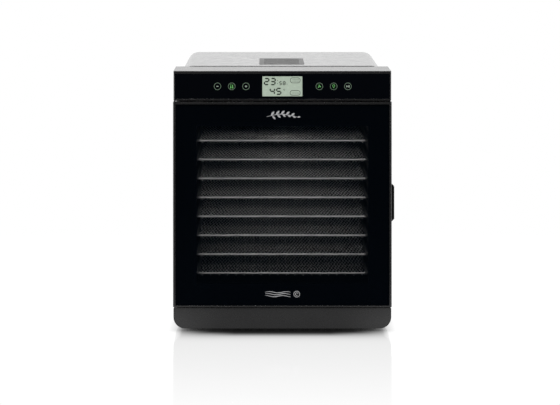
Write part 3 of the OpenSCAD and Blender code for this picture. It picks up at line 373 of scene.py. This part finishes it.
def weave(i):
    """One tray's woven wire: every wire runs over and under the ones it crosses, and ends at the edge rail."""
    lo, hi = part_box(f"tray_mesh_{i}")
    zc = (lo.z + hi.z) / 2
    x0, x1, y0, y1 = lo.x - 0.8 * MM, hi.x + 0.8 * MM, lo.y - 0.8 * MM, hi.y + 0.8 * MM
    nx, ny = 90, 100
    px, py = (x1 - x0) / nx, (y1 - y0) / ny
    r, amp = 0.27 * MM, 0.24 * MM
    corner = 4.5 * MM
    verts, faces = [], []

    def tube(path, up, side):
        b = len(verts)
        for p in path:
            for a in range(4):
                c, s = math.cos(math.pi / 4 + a * math.pi / 2) * r, math.sin(math.pi / 4 + a * math.pi / 2) * r
                verts.append(tuple(p[k] + side[k] * c + up[k] * s for k in range(3)))
        for j in range(len(path) - 1):
            for a in range(4):
                q, e = b + j * 4, (a + 1) % 4
                faces.append((q + a, q + e, q + 4 + e, q + 4 + a))
        faces.append((b + 3, b + 2, b + 1, b))
        e = b + (len(path) - 1) * 4
        faces.append((e, e + 1, e + 2, e + 3))

    def trim(v, lo_v, hi_v):
        """How far a wire near the tray's corner stops short."""
        d = min(v - lo_v, hi_v - v)
        return corner - math.sqrt(max(0.0, corner * corner - (corner - d) ** 2)) if d < corner else 0.0

    for k in range(nx):
        x = x0 + (k + 0.5) * px
        t = trim(x, x0, x1)
        path = [(x, y0 + t, zc)]
        for j in range(ny):
            y = y0 + (j + 0.5) * py
            if y0 + t < y < y1 - t:
                path.append((x, y, zc + amp * (1 if (j + k) % 2 else -1)))
        path.append((x, y1 - t, zc))
        tube(path, (0, 0, 1), (1, 0, 0))
    for j in range(ny):
        y = y0 + (j + 0.5) * py
        t = trim(y, y0, y1)
        path = [(x0 + t, y, zc)]
        for k in range(nx):
            x = x0 + (k + 0.5) * px
            if x0 + t < x < x1 - t:
                path.append((x, y, zc - amp * (1 if (j + k) % 2 else -1)))
        path.append((x1 - t, y, zc))
        tube(path, (0, 0, 1), (0, 1, 0))
    o = obj_from(f"tray_weave_{i}", verts, faces, M["weave"], f"tray_{i}", smooth=True)
    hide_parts(f"tray_mesh_{i}")
    return o


for i in range(1, 9):
    weave(i)

# ------------------------------------------------------------------ black print behind the door's glass


def glass_print():
    """The print lies a hair behind the glass, so that the two faces don't share a plane."""
    src = N["glass_border"]
    me = src.data.copy()
    me.name = "door_glass_print"
    me.materials.clear()
    me.materials.append(M["ink"])
    g_lo, g_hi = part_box("door_glass")
    b_lo, b_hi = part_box("glass_border")
    shift = 0.06 * MM if b_lo.y > (g_lo.y + g_hi.y) / 2 else -0.06 * MM
    for v in me.vertices:
        v.co.y += shift
    for p in me.polygons:
        p.material_index = 0
    o = bpy.data.objects.new("door_glass_print", me)
    bpy.context.scene.collection.objects.link(o)
    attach(o, "door")
    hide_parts("glass_border")


glass_print()

# ------------------------------------------------------------------ control panel prints

fas_lo, fas_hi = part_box("control_fascia")
lcd_lo, lcd_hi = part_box("lcd_module")
yf = fas_lo.y
kz = (fas_lo.z + fas_hi.z) / 2
KEYS = [-102.3, -79.9, -57.4, 58.4, 80.9, 103.3]
rings = Plates(yf + 0.02 * MM, yf - 0.06 * MM)
green = Plates(yf + 0.02 * MM, yf - 0.06 * MM)
pale = Plates(yf + 0.02 * MM, yf - 0.06 * MM)
for x in KEYS:
    rings.ring(x * MM, kz, 5.35 * MM, 0.62 * MM, 56)


def seg(p, x, z, a, b, w):
    """A straight stroke from a to b, in millimetres about (x, z)."""
    p.line([((x + a[0]) * MM, kz + (z + a[1]) * MM), ((x + b[0]) * MM, kz + (z + b[1]) * MM)], w * MM)


# minus and plus
seg(pale, KEYS[0], 0, (-1.7, 0), (1.7, 0), 1.0)
seg(pale, KEYS[2], 0, (-1.6, 0), (1.6, 0), 1.0)
seg(pale, KEYS[2], 0, (0, -1.6), (0, 1.6), 1.0)
# time and heat: two small upright gauges
for dx, top in ((-1.5, 1.2), (1.5, 2.4)):
    seg(green, KEYS[1], 0, (dx, -2.5), (dx, top), 1.1)
    green.ring((KEYS[1] + dx) * MM, kz - 2.2 * MM, 0.75 * MM, 0.7 * MM, 20)
seg(green, KEYS[1], 0, (-2.6, 2.4), (-0.4, 2.4), 0.6)
# fan: three blades round a hub
for k in range(3):
    a = math.radians(90 + 120 * k)
    pts = []
    for q in range(15):
        t = 2 * math.pi * q / 14
        u, v = 1.55 + 1.2 * math.cos(t), 0.35 + 0.8 * math.sin(t)
        pts.append(((KEYS[3] + u * math.cos(a) - v * math.sin(a)) * MM, kz + (u * math.sin(a) + v * math.cos(a)) * MM))
    green.poly(pts[:-1])
green.disc(KEYS[3] * MM, kz, 0.55 * MM, 16)
# lamp: bulb and base
green.ring(KEYS[4] * MM, kz + 0.9 * MM, 1.7 * MM, 0.7 * MM, 28, -55, 235)
seg(green, KEYS[4], 0, (-1.0, -1.1), (1.0, -1.1), 0.6)
seg(green, KEYS[4], 0, (-0.9, -2.1), (0.9, -2.1), 0.7)
# start and stop: a triangle and a bar
pale.poly([((KEYS[5] - 2.3) * MM, kz - 1.6 * MM), ((KEYS[5] + 0.2) * MM, kz), ((KEYS[5] - 2.3) * MM, kz + 1.6 * MM)][::1])
seg(pale, KEYS[5], 0, (1.0, -1.6), (1.0, 1.6), 0.8)
seg(pale, KEYS[5], 0, (2.4, -1.6), (2.4, 1.6), 0.8)
rings.make("key_rings", M["ring"], "cabinet")
green.make("key_icons_green", M["green"], "cabinet")
pale.make("key_icons_pale", M["pale"], "cabinet")

# ------------------------------------------------------------------ display read-out

ylcd = lcd_lo.y
zl = kz
digit = Plates(ylcd + 0.02 * MM, ylcd - 0.05 * MM)
faint = Plates(ylcd + 0.02 * MM, ylcd - 0.04 * MM)
SEGS = {"0": "abcdef", "1": "bc", "2": "abged", "3": "abgcd", "4": "fgbc", "5": "afgcd", "6": "afgedc", "7": "abc", "8": "abcdefg", "9": "abcdfg"}


def seven(ch, x, z, w, h, t):
    """One seven-segment digit; x, z is its lower left corner, in millimetres from the display's middle."""
    slant = 0.06

    def pt(u, v):
        return ((x + u + slant * v) * MM, zl + (z + v) * MM)

    g = t * 0.12
    hz = {"a": h - t / 2, "g": h / 2, "d": t / 2}
    vt = {"f": (t / 2, h / 2, h), "b": (w - t / 2, h / 2, h), "e": (t / 2, 0, h / 2), "c": (w - t / 2, 0, h / 2)}
    for s in SEGS[ch]:
        if s in hz:
            v = hz[s]
            x0, x1 = t / 2 + g, w - t / 2 - g
            digit.poly([pt(x0, v), pt(x0 + t / 2, v - t / 2), pt(x1 - t / 2, v - t / 2), pt(x1, v), pt(x1 - t / 2, v + t / 2), pt(x0 + t / 2, v + t / 2)])
        else:
            u, v0, v1 = vt[s]
            v0, v1 = (v0 + t / 2 if v0 == 0 else v0) + g, (v1 - t / 2 if v1 == h else v1) - g
            digit.poly([pt(u, v0), pt(u + t / 2, v0 + t / 2), pt(u + t / 2, v1 - t / 2), pt(u, v1), pt(u - t / 2, v1 - t / 2), pt(u - t / 2, v0 + t / 2)])


seven("2", -29.4, 1.6, 8.6, 11.7, 2.1)
seven("3", -19.4, 1.6, 8.6, 11.7, 2.1)
seven("5", -5.4, 1.8, 4.6, 6.4, 1.25)
seven("8", 0.4, 1.8, 4.6, 6.4, 1.25)
seven("4", -20.6, -13.6, 8.8, 11.4, 2.1)
seven("5", -10.4, -13.6, 8.8, 11.4, 2.1)
for dz in (4.2, 9.0):
    digit.disc(-7.6 * MM, zl + dz * MM, 0.55 * MM, 16)
faint.ring(3.0 * MM, zl - 5.4 * MM, 1.1 * MM, 0.5 * MM, 24)


def capsule(p, x0, x1, z0, z1, w):
    r = (z1 - z0) / 2
    pts = []
    for c, a0 in ((x1 - r, -90), (x0 + r, 90)):
        for q in range(13):
            a = math.radians(a0 + 180 * q / 12)
            pts.append(((c + r * math.cos(a)) * MM, zl + ((z0 + z1) / 2 + r * math.sin(a)) * MM))
    p.line(pts, w * MM, True)


capsule(faint, 12.4, 28.2, 5.4, 13.6, 0.8)
capsule(digit, 12.2, 28.2, -14.0, -6.7, 0.8)
for z in (11.2, 8.2):
    for k in range(5):
        seg(faint, 16.0 + k * 2.1, z, (0, 0), (1.3, 0), 0.8)
for k in range(6):
    seg(faint, 15.0 + k * 2.0, -10.6, (0, 0), (1.2, 0), 0.8)
seg(faint, 7.4, 3.4, (0, -1.2), (0, 1.2), 0.6)
digit.make("display_digits", M["lcd_ink"], "cabinet")
faint.make("display_outlines", M["lcd_line"], "cabinet")

# ------------------------------------------------------------------ plain marks on the door glass

gl_lo, gl_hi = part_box("door_glass")
yg = gl_lo.y
mark = Plates(yg + 0.02 * MM, yg - 0.05 * MM)


def leaf(x, z, ang, l, w):
    """An almond-shaped leaf from (x, z), l long, pointing at ang degrees."""
    a = math.radians(ang)
    pts = []
    for q in range(11):
        t = q / 10
        pts.append((t * l, -w / 2 * math.sin(math.pi * t) ** 0.8))
    for q in range(9, 0, -1):
        t = q / 10
        pts.append((t * l, w / 2 * math.sin(math.pi * t) ** 0.8))
    mark.poly([((x + u * math.cos(a) - v * math.sin(a)) * MM, (z + u * math.sin(a) + v * math.cos(a)) * MM) for u, v in pts])


def stem(t):
    return -25.0 + 50.0 * t, 340.6 + 2.6 * math.sin(math.pi * 1.5 * t - 0.6)


mark.line([tuple(c * MM for c in stem(q / 40)) for q in range(41)], 0.8 * MM, taper=lambda t: 0.5 + 0.8 * math.sin(math.pi * t))
for q, t in enumerate((0.14, 0.30, 0.46, 0.62, 0.78)):
    x, z = stem(t)
    leaf(x, z + 0.2, 52 - 4 * q, 8.4 - 0.5 * q, 3.2)
    leaf(x + 2.2, z - 0.2, -48 + 4 * q, 7.2 - 0.4 * q, 2.9)
x, z = stem(1.0)
leaf(x - 1.5, z, 8, 5.0, 2.4)
for k in range(3):
    pts = []
    for q in range(25):
        t = q / 24
        pts.append(((-27.0 + 40.0 * t) * MM, (62.6 - 3.1 * k + 1.0 * math.sin(2 * math.pi * (1.5 * t) + 0.7 * k)) * MM))
    mark.line(pts, 0.9 * MM, taper=lambda t: 0.35 + 0.75 * math.sin(math.pi * min(1, max(0, t))) ** 0.6)
mark.ring(22.6 * MM, 59.6 * MM, 4.6 * MM, 0.8 * MM, 40)
mark.ring(22.6 * MM, 59.6 * MM, 2.1 * MM, 0.8 * MM, 24, 20, 300)
mark.make("door_marks", M["silver_ink"], "door")

# ------------------------------------------------------------------ stage, light and camera


def floor():
    bm = bmesh.new()
    bmesh.ops.create_grid(bm, x_segments=2, y_segments=2, size=14)
    me = bpy.data.meshes.new("floor")
    bm.to_mesh(me)
    bm.free()
    o = bpy.data.objects.new("floor", me)
    bpy.context.scene.collection.objects.link(o)
    o.location.z = -0.0002
    m, nt, p = new_mat("pale_floor")
    nt.nodes.remove(p)
    out = nt.nodes["Material Output"]
    tc = nt.nodes.new("ShaderNodeTexCoord")
    sep = nt.nodes.new("ShaderNodeSeparateXYZ")
    nt.links.new(tc.outputs["Object"], sep.inputs[0])

    def math_node(op, a, b=None, clamp=False):
        n = nt.nodes.new("ShaderNodeMath")
        n.operation = op
        n.use_clamp = clamp
        for k, v in enumerate((a, b)):
            if v is None:
                continue
            if isinstance(v, (int, float)):
                n.inputs[k].default_value = v
            else:
                nt.links.new(v, n.inputs[k])
        return n.outputs[0]

    # distance outside the cabinet's footprint
    dx = math_node("SUBTRACT", math_node("ABSOLUTE", sep.outputs[0]), 0.158)
    dy = math_node("SUBTRACT", math_node("ABSOLUTE", sep.outputs[1]), 0.221)
    d = math_node("MAXIMUM", dx, dy)
    fade = math_node("MULTIPLY", math_node("SUBTRACT", 1.0, math_node("DIVIDE", d, 0.60), True), 0.185)
    # soft contact shadow, long in front and short at the sides
    ex = math_node("ADD", math_node("MULTIPLY", math_node("MAXIMUM", math_node("SUBTRACT", math_node("ABSOLUTE", sep.outputs[0]), 0.11), 0.0), 0.55),
                   math_node("MULTIPLY", math_node("MAXIMUM", dx, 0.0), 3.0))
    ey = math_node("MAXIMUM", dy, 0.0)
    e = math_node("SQRT", math_node("ADD", math_node("MULTIPLY", ex, ex), math_node("MULTIPLY", ey, ey)))
    contact = math_node("SUBTRACT", 1.0, math_node("POWER", 2.718, math_node("MULTIPLY", math_node("POWER", math_node("DIVIDE", e, 0.035), 1.6), -1.0)))
    ao = nt.nodes.new("ShaderNodeAmbientOcclusion")
    ao.inputs["Distance"].default_value = 0.02
    ao.samples = 8
    shade = math_node("MULTIPLY", math_node("POWER", ao.outputs["AO"], 0.5), math_node("ADD", math_node("MULTIPLY", contact, 0.97), 0.03))
    # painted shadow: the narrow dark line on the floor under the middle of the base
    wide = math_node("SUBTRACT", 1.0, math_node("MULTIPLY", math_node("SUBTRACT", math_node("ABSOLUTE", sep.outputs[0]), 0.075), 25.0, True))
    close = math_node("SUBTRACT", 1.0, math_node("MULTIPLY", math_node("SUBTRACT", ey, 0.010), 1 / 0.028, True))
    shade = math_node("MULTIPLY", shade, math_node("SUBTRACT", 1.0, math_node("MULTIPLY", math_node("MULTIPLY", wide, close), 0.8)))
    lit = nt.nodes.new("ShaderNodeEmission")
    lit.inputs["Color"].default_value = (1, 1, 1, 1)
    nt.links.new(math_node("MULTIPLY", shade, 1.0), lit.inputs["Strength"])
    gl = nt.nodes.new("ShaderNodeBsdfGlossy")
    gl.inputs["Roughness"].default_value = 0.09
    gl.inputs["Color"].default_value = (1, 1, 1, 1)
    seen = nt.nodes.new("ShaderNodeMixShader")
    nt.links.new(fade, seen.inputs[0])
    nt.links.new(lit.outputs[0], seen.inputs[1])
    nt.links.new(gl.outputs[0], seen.inputs[2])
    # what the object sees of the floor: bright round it, dark far in front, as in a studio with the lights behind;
    # painted shade darkens it under the cabinet and in a dip just in front of its middle
    far = math_node("MULTIPLY", math_node("SUBTRACT", math_node("MULTIPLY", sep.outputs[1], -1.0), 0.425), 30.0, True)
    front = math_node("MULTIPLY", math_node("SUBTRACT", math_node("MULTIPLY", sep.outputs[1], -1.0), 0.20), 20.0, True)
    middle = math_node("SUBTRACT", 1.0, math_node("MULTIPLY", math_node("SUBTRACT", math_node("ABSOLUTE", sep.outputs[0]), 0.10), 10.0, True))
    step = math_node("MULTIPLY", math_node("SUBTRACT", math_node("MULTIPLY", sep.outputs[1], -1.0), 0.325), 10.0, True)
    dip = math_node("MULTIPLY", middle, math_node("SUBTRACT", 0.74, math_node("MULTIPLY", step, 0.44)))
    near = math_node("SUBTRACT", 1.14, math_node("MULTIPLY", front, dip))
    under = math_node("ADD", 0.12, math_node("MULTIPLY", math_node("DIVIDE", d, 0.030, True), 0.88))
    glow = math_node("MULTIPLY", math_node("MULTIPLY", near, under), math_node("SUBTRACT", 1.0, math_node("MULTIPLY", far, 0.98)))
    lp = nt.nodes.new("ShaderNodeLightPath")
    em = nt.nodes.new("ShaderNodeEmission")
    nt.links.new(glow, em.inputs["Strength"])
    mx = nt.nodes.new("ShaderNodeMixShader")
    nt.links.new(lp.outputs["Is Camera Ray"], mx.inputs[0])
    nt.links.new(em.outputs[0], mx.inputs[1])
    nt.links.new(seen.outputs[0], mx.inputs[2])
    nt.links.new(mx.outputs[0], out.inputs["Surface"])
    me.materials.append(m)


def world():
    w = bpy.data.worlds.new("studio")
    bpy.context.scene.world = w
    w.use_nodes = True
    nt = w.node_tree
    bg = nt.nodes["Background"]
    out = nt.nodes["World Output"]
    tc = nt.nodes.new("ShaderNodeTexCoord")
    sep = nt.nodes.new("ShaderNodeSeparateXYZ")
    nt.links.new(tc.outputs["Generated"], sep.inputs[0])
    # 0 in a cone towards the camera side, 1 at the sides and behind
    r = nt.nodes.new("ShaderNodeMapRange")
    r.interpolation_type = "SMOOTHSTEP"
    r.inputs["From Min"].default_value = -0.80
    r.inputs["From Max"].default_value = -0.10
    r.inputs["To Min"].default_value = 0.02
    r.inputs["To Max"].default_value = 1.25
    nt.links.new(sep.outputs[1], r.inputs["Value"])
    # brighter sweep behind
    b = nt.nodes.new("ShaderNodeMapRange")
    b.interpolation_type = "SMOOTHSTEP"
    b.inputs["From Min"].default_value = 0.2
    b.inputs["From Max"].default_value = 0.95
    b.inputs["To Min"].default_value = 0.0
    b.inputs["To Max"].default_value = 0.11
    nt.links.new(sep.outputs[1], b.inputs["Value"])
    add = nt.nodes.new("ShaderNodeMath")
    add.operation = "ADD"
    nt.links.new(r.outputs["Result"], add.inputs[0])
    nt.links.new(b.outputs["Result"], add.inputs[1])
    nt.links.new(add.outputs[0], bg.inputs["Strength"])
    bg.inputs["Color"].default_value = (1, 1, 1, 1)
    cam = nt.nodes.new("ShaderNodeBackground")
    cam.inputs["Color"].default_value = (1, 1, 1, 1)
    cam.inputs["Strength"].default_value = 1.0
    lp = nt.nodes.new("ShaderNodeLightPath")
    mx = nt.nodes.new("ShaderNodeMixShader")
    nt.links.new(lp.outputs["Is Camera Ray"], mx.inputs[0])
    nt.links.new(bg.outputs[0], mx.inputs[1])
    nt.links.new(cam.outputs[0], mx.inputs[2])
    nt.links.new(mx.outputs[0], out.inputs["Surface"])


def area(name, loc, target, size, power, colour=(1, 1, 1), spread=180, size_y=None):
    l = bpy.data.lights.new(name, "AREA")
    l.energy = power
    l.color = colour
    l.shape = "RECTANGLE"
    l.size = size
    l.size_y = size_y or size
    l.spread = math.radians(spread)
    o = bpy.data.objects.new(name, l)
    bpy.context.scene.collection.objects.link(o)
    o.location = loc
    o.rotation_mode = "QUATERNION"
    o.rotation_quaternion = (Vector(target) - Vector(loc)).to_track_quat("-Z", "Y")
    return o


floor()
world()
INSIDE = ["left_liner", "right_liner", "cavity_ceiling", "cavity_floor", "fan_grille", "fan_shroud", "heating_element", "fan_motor",
          "fan_wheel", "motor_shaft", "thermal_cutoff", "temp_probe", "lamp_lens", "lamp_board"]
inside = bpy.data.collections.new("inside")
outside = bpy.data.collections.new("outside")
front = bpy.data.collections.new("front")
for o in bpy.context.scene.objects:
    if o.type == "MESH":
        (inside if o.name in INSIDE or o.name.startswith("tray_") else outside).objects.link(o)
for n in ("base_fascia", "door_frame", "front_frame", "control_head", "outer_housing"):
    front.objects.link(N[n])


def only(light, group):
    """The light falls on this group of objects alone."""
    light.light_linking.receiver_collection = group
    return light


only(area("key", (-0.5, -2.4, 2.1), (0, 0, 0.2), 1.1, 55, (1.0, 0.99, 0.98)), outside)
only(area("fill", (1.6, -2.0, 1.6), (0, 0, 0.2), 0.9, 16), outside)
for s in (-1, 1):
    only(area(f"side_{s}", (s * 0.55, -0.42, 0.16), (s * 0.16, -0.225, 0.12), 0.10, 0.5, size_y=0.42), front)
spot = bpy.data.lights.new("window_spot", "SPOT")
spot.energy = 31
spot.spot_size = math.radians(14.5)
spot.spot_blend = 1.0
spot.shadow_soft_size = 0.10
spot_o = bpy.data.objects.new("window_spot", spot)
bpy.context.scene.collection.objects.link(spot_o)
spot_o.location = (0.05, -1.9, 0.62)
spot_o.rotation_mode = "QUATERNION"
spot_o.rotation_quaternion = (Vector((0.0, -0.1, 0.242)) - spot_o.location).to_track_quat("-Z", "Y")
only(spot_o, inside)
rails = bpy.data.collections.new("rails")
for i in range(1, 9):
    rails.objects.link(N[f"tray_frame_{i}"])
walls = bpy.data.collections.new("walls")
for n in ("left_liner", "right_liner"):
    walls.objects.link(N[n])
for s in (-1, 1):
    only(area(f"wall_{s}", (s * 0.90, -1.6, 0.42), (s * -0.142, -0.02, 0.2), 0.30, 12, size_y=0.15), walls)
only(area("rail_light", (0.0, -1.55, 1.15), (0, -0.19, 0.2), 0.9, 9, size_y=0.25), rails)
lens_lo, lens_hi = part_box("lamp_lens")
area("cavity_lamp", ((lens_lo.x + lens_hi.x) / 2, (lens_lo.y + lens_hi.y) / 2, lens_lo.z - 0.002), (0, (lens_lo.y + lens_hi.y) / 2, 0), 0.05, 0.004, (1.0, 0.97, 0.92), 150, 0.016)

cam_data = bpy.data.cameras.new("camera")
cam = bpy.data.objects.new("camera", cam_data)
bpy.context.scene.collection.objects.link(cam)
CAM = (-0.0236, -3.733, 0.670)
cam.location = CAM
cam.rotation_mode = "XYZ"
cam.rotation_euler = (math.radians(90), 0, 0)
cam_data.lens = 143.1
cam_data.sensor_width = 36
cam_data.clip_start = 0.05
cam_data.clip_end = 60
# the lens shift belongs to this place only: from any other place the lens is centred
for path, value in (("shift_x", 0.0225), ("shift_y", -0.528)):
    d = cam_data.driver_add(path).driver
    d.type = "SCRIPTED"
    v = d.variables.new()
    v.name = "px"
    v.type = "TRANSFORMS"
    v.targets[0].id = cam
    v.targets[0].transform_type = "LOC_X"
    v.targets[0].transform_space = "WORLD_SPACE"
    v = d.variables.new()
    v.name = "py"
    v.type = "TRANSFORMS"
    v.targets[0].id = cam
    v.targets[0].transform_type = "LOC_Y"
    v.targets[0].transform_space = "WORLD_SPACE"
    d.expression = f"{value} if abs(px - {CAM[0]}) + abs(py - {CAM[1]}) < 0.001 else 0.0"
bpy.context.scene.camera = cam
bpy.context.scene.view_settings.view_transform = "Standard"
